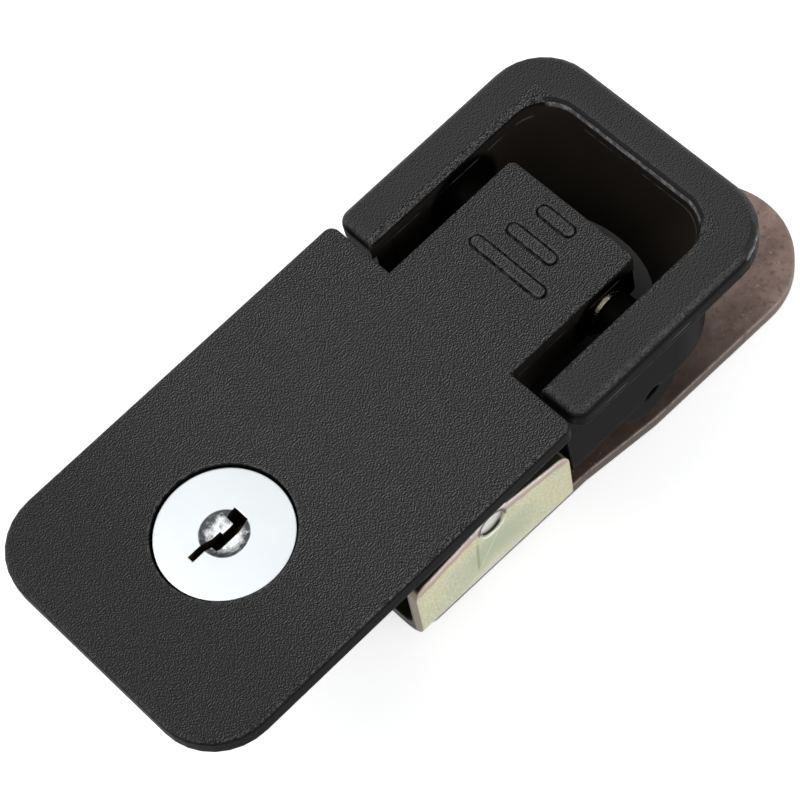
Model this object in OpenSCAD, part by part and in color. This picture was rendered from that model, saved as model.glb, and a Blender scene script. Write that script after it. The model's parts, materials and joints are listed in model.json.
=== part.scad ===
// Compression lever latch: a lever hinged in a finger tub, with a rocking pawl and a key lock.
// Millimetres. The panel's face is z = 0. The hinge axis lies along Y, above the origin's Y axis line.
// +X points to the pawl's tip and +Z points out of the panel.

/* [Lever] */
// Width of the lever and of the rim
latch_w = 50; // [48:0.5:54]
// Hinge axis to the lock end of the lever
lever_reach = 89.2; // [84:0.2:96]
// Hinge axis to the lever's shoulder
shoulder_x = 18.8; // [18.2:0.1:20]
// Distance that the finger tab runs past the hinge axis
tab_reach = 6.6; // [6.2:0.1:7.6]
// Width of the finger tab
tab_w = 25.2; // [23:0.2:27]
// Thickness of the lever plate
lever_t = 3.2; // [2.8:0.1:3.8]
// Plan radius of the corners at the lock end
lever_corner_r = 10; // [7:0.5:13]
// Plan radius of the shoulder corners
shoulder_corner_r = 1.6; // [1.2:0.1:2.5]
// Plan radius of the tab's end corners
tab_corner_r = 1.2; // [1.1:0.1:2]
// Depth of the finger tab's end wall behind the panel
tab_wall_drop = 5.5; // [4.5:0.1:6]
// Thickness of that end wall
tab_wall_t = 2; // [1.6:0.1:2.2]
// Radius of the lever's top edges
lever_edge_r = 0.9; // [0.5:0.1:1.1]
// Gap between the lever's underside and the panel
panel_gap = 0.3; // [0.2:0.05:0.6]
// Depth of the hollow moulded under the lever plate
hollow_depth = 1.2; // [0.8:0.1:1.4]
// Width of the full-thickness border round that hollow
border_w = 3; // [2:0.2:5]
// Distance that the parts on the underside run into the plate
root_depth = 0.2; // [0.1:0.05:0.4]

/* [Finger ribs] */
// Length of the longest rib
rib_len = 14.4; // [12:0.2:18]
// Amount by which the middle rib is shorter
rib_step = 5.3; // [4:0.1:7]
// Amount by which the last rib is shorter than the middle one
rib_step_2 = 2.5; // [1:0.1:3]
// Width of a rib
rib_w = 1.7; // [1.4:0.1:2.8]
// Distance between ribs
rib_pitch = 5; // [4.2:0.1:5.4]
// Distance of the last rib from the tab's end
rib_end_gap = 3.5; // [3:0.1:5]
// Width of the groove round each rib
groove_w = 0.4; // [0.3:0.05:0.8]
// Depth of that groove
groove_depth = 0.5; // [0.3:0.05:0.7]
// Height of a rib over the tab
rib_rise = 0.2; // [0.1:0.05:0.4]

/* [Rim and tub] */
// Hinge axis to the outer end of the rim
rim_reach = 24.9; // [24:0.1:30]
// Height of the rim over the panel
rim_h = 4; // [3.6:0.1:4.6]
// Width of the rim's arms
rim_arm_w = 7.5; // [7:0.1:8.5]
// Width of the rim's end
rim_end_w = 6.6; // [6.2:0.1:7.4]
// Plan radius of the rim's outer corners
rim_corner_r = 9.5; // [7:0.5:12]
// Plan radius of the rim's inner corners
rim_inner_r = 6; // [4:0.2:7]
// Plan radius of the arm ends
arm_end_r = 2.2; // [2.1:0.1:3.4]
// Radius of the rim's top edge
rim_edge_r = 1.8; // [1:0.1:2]
// Radius of the rim's edge round the finger opening
mouth_edge_r = 1.6; // [1:0.1:2]
// Gap between the lever's shoulder and the rim's arms
shoulder_gap = 0.8; // [0.7:0.05:1.2]
// Setback of the tub's wall from the rim's edge along the sides
skirt_inset = 4.7; // [4.4:0.1:5.2]
// Setback of the tub's wall from the rim's outer end
skirt_end_inset = 5.3; // [4.8:0.1:6]
// Setback of the tub's front wall from the arm ends
skirt_front_inset = 0.8; // [0.6:0.1:1.2]
// Plan radius of the tub's rear corners
tub_corner_r = 14; // [10:0.5:15]
// Hinge axis to the end of the finger well at its floor
well_reach = 14.2; // [13:0.1:15.5]
// Plan radius of the well's corners at its floor
well_corner_r = 16; // [12:0.5:16]
// Distance by which the well's sides lean in at its floor
well_draft = 0.8; // [0.4:0.1:1.2]
// Thickness of the tub's walls
tub_wall = 2.3; // [1.9:0.1:2.4]
// Depth of the tub's walls behind the panel
tub_depth = 19.8; // [19.4:0.1:20.6]
// Thickness of the tub's floor
floor_t = 2; // [1.6:0.1:2.4]
// Distance that the walls run on past the floor
floor_lift = 2; // [1.5:0.1:2.4]
// Depth of the front wall's top edge behind the panel
front_wall_drop = 7.2; // [7:0.1:8]

/* [Clamp lugs] */
// Outer radius of the round lugs under the tub
lug_r = 6; // [5.2:0.1:6.2]
// Thickness of a lug
lug_t = 3; // [2.4:0.1:3.4]
// Setback of the lugs from the tub's side
lug_inset = 1; // [0.6:0.1:1.4]
// Depth of the lugs' bore behind the panel
lug_drop = 20.6; // [20.4:0.1:21]
// Radius of the bore for a clamp bolt
clamp_bore_r = 2.1; // [1.9:0.05:2.3]

/* [Hinge] */
// Depth of the hinge axis behind the panel
pin_drop = 3.3; // [3:0.1:3.6]
// Radius of the hinge pin
pin_r = 2; // [1.8:0.05:2.2]
// Radius of the tub's bosses round the pin
pin_boss_r = 3.6; // [3:0.1:4.2]
// Gap between those bosses and the lever's cheeks
pin_boss_gap = 0.9; // [0.6:0.1:1.4]
// Setback of the pin's ends from the tub's outer sides
pin_end_gap = 0.2; // [0.1:0.05:0.5]
// Radial running clearance of bushes and bores
run_clear = 0.05; // [0.03:0.01:0.08]
// Wall of a hinge bush
bush_wall = 0.95; // [0.8:0.05:1.1]
// Radius by which a bush's collar stands out
collar_w = 0.4; // [0.3:0.05:0.5]
// Thickness of that collar
collar_t = 0.8; // [0.6:0.1:1]
// Radius of the lever's hinge eye
eye_r = 5; // [4.6:0.1:5.4]
// Thickness of the lever's hinge cheeks
cheek_t = 3; // [2.5:0.1:3.6]
// Setback of the cheeks from the tab's sides
cheek_inset = 0.2; // [0.1:0.05:0.5]
// Distance that the cheeks run back under the lever
cheek_len = 40; // [34:0.5:44]
// Depth of the cheeks' far end behind the panel
cheek_end_drop = 2.6; // [2:0.1:4]
// Depth of the cheeks next to the hinge eye
cheek_drop = 6; // [5:0.1:6.2]
// Outer radius of the pin's clips
clip_r = 3.3; // [3:0.1:3.4]
// Thickness of clips and rings
clip_t = 0.8; // [0.6:0.1:1]
// Width of the mouth of clips and rings
ring_mouth = 2; // [1.6:0.1:2.6]
// Play between a clip and its neighbour
clip_gap = 0.3; // [0.2:0.05:0.5]

/* [Lever spring] */
// Wire diameter of the lever spring
spring_wire = 1.1; // [0.9:0.05:1.2]
// Gap between the pin and the spring's coil
spring_gap = 0.3; // [0.2:0.05:0.35]
// Turns of the lever spring
spring_turns = 7; // [5:1:8]
// Gap between its turns
turn_gap = 0.15; // [0.1:0.05:0.2]
// Length of the leg under the lever
upper_leg = 12; // [8:0.5:14]
// Distance that the other leg runs past the front wall's inner face
lower_leg_over = 1.6; // [1.2:0.1:2]

/* [Pawl carrier] */
// Hinge axis to the rocker pin, along the lever
rock_x = 33.2; // [32.6:0.1:35]
// Depth of the rocker pin behind the panel
rock_drop = 13; // [12.6:0.1:14]
// Angle at which the carrier hangs
pawl_tilt = 2.2; // [1:0.1:3.4]
// Outer width of the channel
carrier_w = 41; // [40.4:0.1:42]
// Length of the channel
carrier_len = 31.2; // [29:0.2:31.6]
// Sheet thickness of the channel
sheet_t = 2.2; // [1.8:0.1:2.4]
// Outer radius of the channel's bends
bend_r = 4.6; // [3:0.1:5]
// Depth of the channel's outer face below the rocker pin
web_drop = 15.5; // [15:0.1:16.5]
// Height of the channel's walls at their ends
wall_end_h = 15.6; // [14.6:0.1:16]
// Height of the walls in the middle
wall_mid_h = 18; // [17:0.1:18.4]
// Radius of the ear round the rocker pin
ear_r = 3.8; // [3.5:0.1:4.4]
// Radius of the walls' upper corners in side view
wall_corner_r = 2.6; // [1.5:0.1:3]
// Radius of the rocker pin
rocker_pin_r = 2.3; // [2:0.05:2.5]
// Setback of the rocker pin's ends in the channel's walls
rocker_end_gap = 0.5; // [0.2:0.05:0.8]
// Thickness of the lever's lugs for the rocker pin
rocker_lug_t = 3; // [2.4:0.1:3.4]
// Side gap between those lugs and the channel
rocker_lug_gap = 0.4; // [0.3:0.05:0.6]
// Outer radius of those lugs
rocker_lug_r = 5; // [4.4:0.1:5.4]
// Outer radius of the rings on the rocker pin
rocker_ring_r = 4.2; // [3.6:0.1:4.6]

/* [Pawl] */
// Rocker pin to the pawl's tip
pawl_reach = 73.5; // [70:0.5:80]
// Rocker pin to the pawl's inner end
pawl_back = 14.2; // [13.6:0.1:15]
// Width of the pawl's root under the channel
pawl_w = 36.6; // [35:0.2:38]
// Thickness of the pawl
pawl_t = 2.2; // [2:0.1:3]
// Width of the pawl's round-ended tongue
tongue_w = 28; // [24:0.5:30]
// Sideways offset of the tongue
tongue_shift = 5.5; // [4:0.1:6]
// Rocker pin to the end of the root
tongue_x = 20; // [17:0.5:24]
// Length over which the root narrows to the tongue
tongue_taper = 14; // [8:0.5:18]
// Plan radius of the root's inner corners
pawl_back_r = 3; // [2:0.5:5]
// Shank radius of the rivets
rivet_r = 2.5; // [2:0.1:2.8]
// Head radius of the rivets
rivet_head_r = 4; // [3.6:0.1:4.4]
// Head height of the rivets
rivet_head_h = 1.2; // [0.8:0.1:1.6]
// Rocker pin to the first pair of rivets
rivet_x = 0.5; // [0:0.1:1]
// Distance between the pairs
rivet_pitch_x = 11.5; // [10.5:0.1:11.8]
// Distance between the rivets of a pair
rivet_pitch_y = 24; // [20:0.5:25]

/* [Grip adjustment] */
// Rocker pin to the grip screw
screw_x = 9.4; // [9:0.1:9.6]
// Radius of the grip screw
screw_r = 2.5; // [2:0.05:2.6]
// Radius of the screw's tip
screw_tip_r = 1.25; // [1:0.05:1.6]
// Distance of the screw's tip below the rocker pin
screw_tip_drop = 3; // [2.6:0.1:3.6]
// Recess of the screw's socket end in the nut
screw_sink = 0.3; // [0.1:0.1:0.6]
// Radius of the nut's pressed shank
nut_shank_r = 3.8; // [3.5:0.1:4]
// Corner radius of the nut's hexagon
nut_hex_r = 4.6; // [4.4:0.1:5]
// Height of the hexagon over the web
nut_h = 4; // [3:0.1:5]
// Radius of the access hole in the pawl
access_r = 3.4; // [2.8:0.1:3.6]
// Corner radius of the screw's hexagon socket
socket_r = 1.44; // [1.2:0.02:1.5]
// Depth of that socket
socket_depth = 3; // [2:0.1:4]
// Gap between the screw's tip and its pad, as the tilt stands
pad_gap = 0.65; // [0.6:0.05:0.8]
// Radius of the pad
pad_r = 3.8; // [3.2:0.1:4.2]
// Thickness of the pad
pad_t = 1.5; // [1:0.1:2]
// Radius of the pad's spigot
spigot_r = 1.5; // [1.2:0.1:1.8]
// Length of that spigot
spigot_len = 4; // [3:0.2:5]
// Radius of the post that carries the pad
post_r = 5; // [4.6:0.1:5.5]
// Rocker pin to the rocker spring
rocker_spring_x = 6.2; // [6:0.1:6.4]
// Outer radius of the rocker spring
rocker_spring_r = 4; // [3.6:0.1:4.2]
// Wire diameter of the rocker spring
rocker_wire = 1; // [0.8:0.05:1.1]
// Turns of the rocker spring
rocker_turns = 6; // [5:1:8]
// Height of the spring's upper end over the rocker pin
rocker_spring_top = 6; // [5:0.2:7]
// Gap between that end and the lever's seat for it
rocker_seat_gap = 0.6; // [0.5:0.05:0.8]
// Radius of that seat
rocker_seat_r = 5.2; // [4.8:0.1:5.6]
// Length of the seat's nose inside the spring
rocker_nose = 3; // [2:0.1:4]
// Radial gap between the nose and the spring
rocker_nose_gap = 0.6; // [0.5:0.05:0.8]

/* [Key lock] */
// Hinge axis to the lock's axis
lock_x = 63.6; // [62:0.1:65]
// Radius of the lock's round face
face_r = 10.3; // [9.5:0.1:10.6]
// Thickness of the face
face_t = 2; // [1.6:0.1:2.2]
// Depth of the face below the lever's top
face_sink = 0.65; // [0.4:0.05:0.9]
// Radial gap round the face
face_gap = 0.4; // [0.35:0.05:0.9]
// Play under the face
face_play = 0.1; // [0.05:0.05:0.2]
// Radius of the plug's body
plug_r = 7; // [6.8:0.05:7.2]
// Depth of the lock's boss behind the panel
boss_drop = 13.5; // [13:0.1:14.5]
// Wall of the boss
boss_wall = 3; // [2.2:0.1:3.6]
// Wall of the boss's collar round the recess for the face
recess_wall = 1.4; // [1:0.1:2]
// Depth of that collar behind the panel
recess_drop = 1.5; // [1:0.1:3]
// Radius of the dished middle of the face
dish_r = 3.65; // [2.8:0.05:4]
// Radius of the dish at its floor
dish_floor_r = 1.9; // [1.2:0.1:2.4]
// Depth of that dish
dish_depth = 1.1; // [0.7:0.1:1.4]
// Length of the key slot's narrow end from the lock's axis
slot_back = 6; // [5.5:0.1:6.6]
// Width of that narrow end
slot_w = 1.1; // [1:0.05:1.4]
// Sideways offset of the narrow end
slot_shift = 0.65; // [0.5:0.05:0.8]
// Length of the key slot's other end from the lock's axis
slot_front = 3.8; // [3.6:0.1:4.4]
// Width of the slot's middle
slot_mid_w = 1.5; // [1.3:0.05:1.7]
// Distance of the middle's lower side from the lock's axis
slot_low = 0.85; // [0.7:0.05:1]
// Length of the middle towards the narrow end
slot_mid_back = 2.5; // [2:0.1:3]
// Length of the slot's wide end
slot_head = 1.75; // [1.4:0.05:2]
// Width of the slot's wide end
slot_wide_w = 2.75; // [2:0.05:2.9]
// Depth of the key slot behind the panel
slot_drop = 11.4; // [11.2:0.1:12]
// Thickness of a wafer
wafer_t = 1; // [0.8:0.05:1.1]
// Distance between wafers
wafer_pitch = 2.2; // [2:0.05:2.4]
// Number of wafers
wafer_count = 4; // [3:1:4]
// Length of a wafer
wafer_len = 12.4; // [11.8:0.1:12.6]
// Width of a wafer
wafer_w = 5; // [4.8:0.1:5.2]
// Length of the key's window in a wafer
wafer_window = 8.7; // [8:0.1:9.2]
// Gap between a wafer and its slot
wafer_gap = 0.1; // [0.05:0.01:0.15]
// Width of the ear that the wafer's spring pushes on
wafer_ear_w = 1.6; // [1.4:0.1:1.7]
// Wire diameter of the wafer springs
wafer_wire = 0.24; // [0.2:0.02:0.28]
// Outer radius of the wafer springs
wafer_spring_r = 0.45; // [0.4:0.01:0.48]
// Turns of a wafer spring
wafer_spring_turns = 4; // [3:1:5]
// Length of a wafer spring
wafer_spring_len = 3; // [2.6:0.1:3.4]
// Depth of the groove for the plug's clip
lock_groove = 1; // [0.8:0.1:1.2]
// Outer radius of the plug's clip
lock_clip_r = 9; // [8.4:0.1:9.8]
// Width of that clip's mouth
lock_clip_mouth = 7; // [6:0.2:8]
// Play over the plug's clip
lock_clip_gap = 0.15; // [0.1:0.05:0.3]
// Radius of the plug's tail
tail_r = 4.5; // [4:0.1:5]
// Width across the tail's flats
tail_flat_w = 7; // [6:0.1:7.6]
// Gap between the tail and the cam
tail_gap = 0.1; // [0.05:0.01:0.15]
// Thickness of the cam
cam_t = 2; // [1.6:0.1:2.4]
// Reach of the cam's tip from the lock's axis
cam_reach = 18; // [16:0.2:19]
// Width of the cam's arm
cam_w = 9; // [7:0.2:11]
// Radius of the cam's hub
cam_hub_r = 7; // [6.4:0.1:7.6]
// Radius of the cam screw's shank
cam_screw_r = 1.6; // [1.4:0.05:1.8]
// Head radius of the cam screw
cam_head_r = 3.4; // [3:0.1:3.8]
// Head height of the cam screw
cam_head_h = 2.2; // [1.8:0.1:2.6]
// Length of the cross slot in that head
cross_len = 4; // [3.4:0.1:4.6]
// Width of the cross slot
cross_w = 1.1; // [0.8:0.1:1.4]
// Depth of the cross slot
cross_depth = 1.1; // [0.8:0.1:1.5]
// Radius of the cam's washer
washer_r = 5.5; // [5:0.1:6]
// Thickness of the cam's washer
washer_t = 0.6; // [0.5:0.05:0.8]
// Length of the cam screw's shank inside the tail
cam_screw_len = 4; // [3.4:0.2:5]

/* [Hidden] */
$fn = 64;
// Segments of the corner solids inside a hull
hull_fn = 32;
// Steps in a turn of a coil and sides of its wire, for the large and the fine springs
coil_steps = 16;
wire_sides = 8;
fine_steps = 8;
fine_sides = 6;
// Steps of the rounded edge round the finger opening
edge_steps = 3;
// Thickness of the slices between which a hollow is drawn
slice_t = 0.05;
// Overrun of cutting solids
cut = 1;

lever_top = panel_gap + lever_t;
hollow_top = panel_gap + hollow_depth;
root = hollow_top + root_depth;

rim_x0 = shoulder_gap - shoulder_x;
pocket_half = latch_w / 2 - rim_arm_w;
pocket_x1 = rim_reach - rim_end_w;
tub_x0 = rim_x0 + skirt_front_inset;
tub_x1 = rim_reach - skirt_end_inset;
tub_half = latch_w / 2 - skirt_inset;
floor_bottom = floor_lift - tub_depth;
floor_top = floor_bottom + floor_t;
front_wall_top = -front_wall_drop;

pin_z = -pin_drop;
pin_half = tub_half - pin_end_gap;
bush_r = pin_r + run_clear + bush_wall;
cheek_out = tab_w / 2 - cheek_inset;
cheek_in = cheek_out - cheek_t;
collar_in = cheek_in - collar_t;

carrier_half = carrier_w / 2;
web_top = sheet_t - web_drop;
carrier_in = carrier_half - sheet_t;
rocker_lug_out = carrier_in - rocker_lug_gap;
rocker_lug_in = rocker_lug_out - rocker_lug_t;
rocker_half = carrier_half - rocker_end_gap;

spring_mean_r = pin_r + spring_gap + spring_wire / 2;
spring_pitch = spring_wire + turn_gap;

// A point of the carrier's own frame, carried to the latch's frame
function hung(x, z) = [
    x * cos(pawl_tilt) + z * sin(pawl_tilt) - rock_x,
    z * cos(pawl_tilt) - x * sin(pawl_tilt) - rock_drop
];
screw_tip = hung(-screw_x, -screw_tip_drop);
pad_bottom = screw_tip[1] + pad_gap;
spring_head = hung(rocker_spring_x, rocker_spring_top);
seat_bottom = spring_head[1] + rocker_seat_gap;
nose_r = rocker_spring_r - rocker_wire - rocker_nose_gap;

face_bottom = lever_top - face_sink - face_t;
recess_floor = face_bottom - face_play;
clip_top = -boss_drop - lock_clip_gap;
clip_bottom = clip_top - clip_t;
tail_top = clip_bottom - clip_t;
cam_bottom = tail_top - cam_t;
washer_bottom = cam_bottom - washer_t;
first_wafer_z = -slot_drop + wafer_pitch / 2;

function unit(v) = v / norm(v);

// Direction of a path at its i-th point
function heading(path, i) = unit(path[min(i + 1, len(path) - 1)] - path[max(i - 1, 0)]);

// Round wire along a path whose stretches lie across the Z axis
module wire_along(path, wire_d, sides) {
    last = len(path) - 1;
    points = [
        for (i = [0 : last])
            let (t = heading(path, i), n = unit(cross(t, [0, 0, 1])), b = cross(n, t))
                for (k = [0 : sides - 1])
                    path[i] + wire_d / 2 * (cos(360 * k / sides) * n + sin(360 * k / sides) * b)
    ];
    walls = [
        for (i = [0 : last - 1], k = [0 : sides - 1], half = [0, 1])
            let (a = i * sides + k, b = i * sides + (k + 1) % sides)
                half == 0 ? [a, a + sides, b + sides] : [a, b + sides, b]
    ];
    ends = [[for (k = [0 : sides - 1]) k], [for (k = [sides - 1 : -1 : 0]) last * sides + k]];
    polyhedron(points, concat(walls, ends));
}

// Points of a coil round the Z axis, rising from z = 0
function coil_path(r, turns, pitch, steps) = [
    for (i = [0 : turns * steps])
        [r * cos(360 * i / steps), r * sin(360 * i / steps), pitch * i / steps]
];

// Compression spring on the Z axis with an outer radius r and a height h
module compression_spring(r, h, wire_d, turns, steps, sides) {
    translate([0, 0, wire_d / 2])
        wire_along(coil_path(r - wire_d / 2, turns, (h - wire_d) / turns, steps), wire_d, sides);
}

// Cylinder along Y between y0 and y1
module y_rod(r, y0, y1) {
    translate([0, y1, 0]) rotate([90, 0, 0]) cylinder(r = r, h = y1 - y0);
}

// Copies its child to both sides of the middle plane
module both_sides() {
    children();
    mirror([0, 1, 0]) children();
}

// Side profile drawn in x and z, given a thickness along y from y0 to y1
module side_slab(y0, y1) {
    translate([0, y1, 0]) rotate([90, 0, 0]) linear_extrude(y1 - y0) children();
}

// Disc with a rounded top edge
module soft_disc(r, h, edge_r) {
    rotate_extrude($fn = hull_fn) {
        square([r, h - edge_r]);
        square([r - edge_r, h]);
        intersection() {
            translate([r - edge_r, h - edge_r]) circle(edge_r, $fn = hull_fn);
            square([r, h]);
        }
    }
}

// Plate from x0 to x1 with rounded top edges and its own corner radius at each end
module soft_plate(x0, x1, w, h, r0, r1, edge_r) {
    hull() both_sides() {
        translate([x0 + r0, w / 2 - r0, 0]) soft_disc(r0, h, edge_r);
        translate([x1 - r1, w / 2 - r1, 0]) soft_disc(r1, h, edge_r);
    }
}

// Flat outline from x0 to x1 with its own corner radius at each end
module end_rounded(x0, x1, w, r0, r1) {
    translate([x0 + r0, -w / 2]) square([x1 - r1 - x0 - r0, w]);
    translate([x0, r0 - w / 2]) square([r0, w - 2 * r0]);
    translate([x1 - r1, r1 - w / 2]) square([r1, w - 2 * r1]);
    for (s = [-1, 1]) {
        translate([x0 + r0, s * (w / 2 - r0)]) circle(r0);
        translate([x1 - r1, s * (w / 2 - r1)]) circle(r1);
    }
}

// Flat outline with rounded corners at the x1 end only
module d_outline(x0, x1, w, r) {
    translate([x0, -w / 2]) square([x1 - r - x0, w]);
    translate([x1 - r, r - w / 2]) square([r, w - 2 * r]);
    for (s = [-1, 1])
        translate([x1 - r, s * (w / 2 - r)]) circle(r);
}

// Long pill along Y
module pill(len, w) {
    translate([-w / 2, (w - len) / 2]) square([w, len - w]);
    for (s = [-1, 1])
        translate([0, s * (len - w) / 2]) circle(w / 2);
}

// Places its child in the carrier's own frame, with the rocker pin on the Y axis
module carrier_frame() {
    translate([-rock_x, 0, -rock_drop]) rotate([0, pawl_tilt, 0]) children();
}

// Outline of the finger opening from x0 on, made wider all round
module opening_outline(x0, wider) {
    d_outline(x0, pocket_x1 + wider, 2 * (pocket_half + wider), rim_inner_r + wider);
}

// Rounded edge round the finger opening, from its wall up to the rim's top
module opening_edge() {
    for (i = [0 : edge_steps - 1]) hull()
        for (a = [i * 90 / edge_steps, (i + 1) * 90 / edge_steps])
            translate([0, 0, rim_h - mouth_edge_r * (1 - sin(a))])
                linear_extrude(slice_t) opening_outline(rim_x0 - cut, mouth_edge_r * (1 - cos(a)));
}

// Open space inside the housing: the finger well, its open front and the space under its floor
module housing_cavity() {
    x0 = tub_x0 + tub_wall;
    opening_edge();
    hull() {
        translate([0, 0, rim_h - mouth_edge_r]) linear_extrude(slice_t) opening_outline(x0, 0);
        translate([0, 0, floor_top]) linear_extrude(slice_t)
            d_outline(x0, well_reach, 2 * (pocket_half - well_draft), well_corner_r);
    }
    translate([rim_x0 - cut, -pocket_half, front_wall_top])
        cube([x0 - rim_x0 + 2 * cut, 2 * pocket_half, rim_h - front_wall_top]);
    translate([0, 0, -tub_depth - lug_r])
        linear_extrude(floor_lift + lug_r)
            d_outline(x0, tub_x1 - tub_wall, 2 * (tub_half - tub_wall), tub_corner_r - tub_wall);
}

// Round lug with its foot against the tub's wall and floor
module clamp_lug() {
    lug_y1 = tub_half - lug_inset;
    difference() {
        translate([0, 0, -lug_drop]) y_rod(lug_r, lug_y1 - lug_t, lug_y1);
        translate([-lug_r - cut, 0, floor_top - floor_t / 2]) cube([2 * (lug_r + cut), tub_half, 2 * lug_r]);
    }
}

module housing() {
    color([0.11, 0.11, 0.115]) difference() {
        union() {
            difference() {
                union() {
                    soft_plate(rim_x0, rim_reach, latch_w, rim_h, arm_end_r, rim_corner_r, rim_edge_r);
                    translate([0, 0, -tub_depth])
                        linear_extrude(tub_depth + rim_h / 2)
                            d_outline(tub_x0, tub_x1, 2 * tub_half, tub_corner_r);
                }
                housing_cavity();
            }
            both_sides() {
                clamp_lug();
                translate([0, 0, pin_z]) y_rod(pin_boss_r, cheek_out + pin_boss_gap, tub_half - tub_wall / 2);
            }
        }
        translate([0, 0, pin_z]) y_rod(pin_r, -tub_half - cut, tub_half + cut);
        translate([0, 0, -lug_drop]) y_rod(clamp_bore_r, -tub_half - cut, tub_half + cut);
    }
}

module lever_pin() {
    color("silver") translate([0, 0, pin_z]) y_rod(pin_r, -pin_half, pin_half);
}

// Open ring round the Y axis with a mouth towards the pin's underside
module open_ring(inner_r, outer_r, y0, y1) {
    difference() {
        y_rod(outer_r, y0, y1);
        y_rod(inner_r, y0 - cut, y1 + cut);
        translate([-ring_mouth / 2, y0 - cut, -outer_r - cut])
            cube([ring_mouth, y1 - y0 + 2 * cut, outer_r + cut]);
    }
}

module pin_clips() {
    clip_y = collar_in - clip_gap - clip_t;
    color("dimgray") both_sides()
        translate([0, 0, pin_z]) open_ring(pin_r, clip_r, clip_y, clip_y + clip_t);
}

// Torsion spring: a coil round the hinge pin with one leg under the lever and one on the front wall
module lever_spring() {
    coil_len = spring_turns * spring_pitch + spring_pitch / 2;
    lower_leg = -tub_x0 - tub_wall + lower_leg_over;
    coil = [
        for (i = [0 : (spring_turns + 0.5) * coil_steps])
            let (a = 90 + 360 * i / coil_steps)
                [spring_mean_r * cos(a), spring_mean_r * sin(a), spring_pitch * i / coil_steps]
    ];
    path = concat(
        [[-upper_leg, spring_mean_r, 0], [-upper_leg / 2, spring_mean_r, 0]],
        [for (p = coil) [-p[0], p[1], p[2]]],
        [[-lower_leg / 2, -spring_mean_r, coil_len], [-lower_leg, -spring_mean_r, coil_len]]
    );
    color("lightgray") translate([0, coil_len / 2, pin_z]) rotate([90, 0, 0])
        wire_along(path, spring_wire, wire_sides);
}

// Hinge cheek and eye of the lever in side view
module cheek_profile() {
    polygon([
        [-cheek_len, root], [-cheek_len, -cheek_end_drop], [-eye_r, -cheek_drop],
        [0, pin_z], [0, root]
    ]);
    translate([0, pin_z]) circle(eye_r);
}

// Walls that close the finger tab's sides and end
module tab_skirt() {
    x1 = tab_reach - cheek_inset;
    translate([0, 0, -tab_wall_drop]) linear_extrude(tab_wall_drop + root) difference() {
        d_outline(-eye_r, x1, 2 * cheek_out, tab_corner_r);
        translate([-eye_r - cut, -cheek_in]) square([x1 - tab_wall_t + eye_r + cut, 2 * cheek_in]);
    }
}

// Lug for the rocker pin in side view
module rocker_lug_profile() {
    translate([-rock_x - rocker_lug_r, -rock_drop]) square([2 * rocker_lug_r, rock_drop + root]);
    translate([-rock_x, -rock_drop]) circle(rocker_lug_r);
}

// Everything that stands on the underside of the lever
module lever_underside() {
    tab_skirt();
    both_sides() {
        side_slab(cheek_in, cheek_out) cheek_profile();
        side_slab(rocker_lug_in, rocker_lug_out) rocker_lug_profile();
    }
    translate([screw_tip[0], 0, pad_bottom + pad_t]) cylinder(r = post_r, h = root - pad_bottom - pad_t);
    translate([spring_head[0], 0, seat_bottom]) {
        cylinder(r = rocker_seat_r, h = root - seat_bottom);
        translate([0, 0, -rocker_nose]) cylinder(r = nose_r, h = rocker_nose + root - seat_bottom);
    }
    translate([-lock_x, 0, -boss_drop]) cylinder(r = plug_r + boss_wall, h = boss_drop + root);
    translate([-lock_x, 0, -recess_drop])
        cylinder(r = face_r + face_gap + recess_wall, h = recess_drop + root);
}

// Places the children, one after another, at the three ribs and gives each its length
module each_rib(w_add) {
    lengths = [rib_len, rib_len - rib_step, rib_len - rib_step - rib_step_2];
    for (i = [0 : 2])
        translate([tab_reach - rib_end_gap - (2 - i) * rib_pitch, 0, 0])
            pill(lengths[i] + w_add, rib_w + w_add);
}

module lever() {
    tab_root = -shoulder_x - lever_corner_r;
    color([0.12, 0.12, 0.125]) difference() {
        union() {
            difference() {
                translate([0, 0, panel_gap]) union() {
                    soft_plate(
                        -lever_reach, -shoulder_x, latch_w, lever_t,
                        lever_corner_r, shoulder_corner_r, lever_edge_r
                    );
                    soft_plate(tab_root, tab_reach, tab_w, lever_t, tab_corner_r, tab_corner_r, lever_edge_r);
                }
                translate([0, 0, panel_gap - cut])
                    linear_extrude(hollow_depth + cut)
                        end_rounded(
                            border_w - lever_reach, -shoulder_x - border_w, latch_w - 2 * border_w,
                            lever_corner_r - border_w, shoulder_corner_r
                        );
                translate([0, 0, lever_top - groove_depth])
                    linear_extrude(groove_depth + cut) each_rib(2 * groove_w);
            }
            translate([0, 0, lever_top - groove_depth - cut / 2])
                linear_extrude(groove_depth + cut / 2 + rib_rise) each_rib(0);
            lever_underside();
        }
        translate([-lock_x, 0, recess_floor]) cylinder(r = face_r + face_gap, h = lever_top);
        translate([-lock_x, 0, -boss_drop - cut]) cylinder(r = plug_r + run_clear, h = boss_drop + lever_top);
        translate([0, 0, pin_z]) y_rod(bush_r, -cheek_out - cut, cheek_out + cut);
        translate([-rock_x, 0, -rock_drop]) y_rod(rocker_pin_r, -carrier_half, carrier_half);
        translate([screw_tip[0], 0, pad_bottom]) cylinder(r = spigot_r, h = pad_t + spigot_len);
    }
}

module pivot_bushes() {
    color("goldenrod") both_sides() translate([0, 0, pin_z]) difference() {
        union() {
            y_rod(bush_r, cheek_in, cheek_out);
            y_rod(bush_r + collar_w, collar_in, cheek_in);
        }
        y_rod(pin_r + run_clear, collar_in - cut, cheek_out + cut);
    }
}

module rocker_pin() {
    color("silver") translate([-rock_x, 0, -rock_drop]) y_rod(rocker_pin_r, -rocker_half, rocker_half);
}

module rocker_pin_rings() {
    color("dimgray") both_sides() translate([-rock_x, 0, -rock_drop])
        open_ring(rocker_pin_r, rocker_ring_r, rocker_lug_in - clip_t, rocker_lug_in);
}

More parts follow.
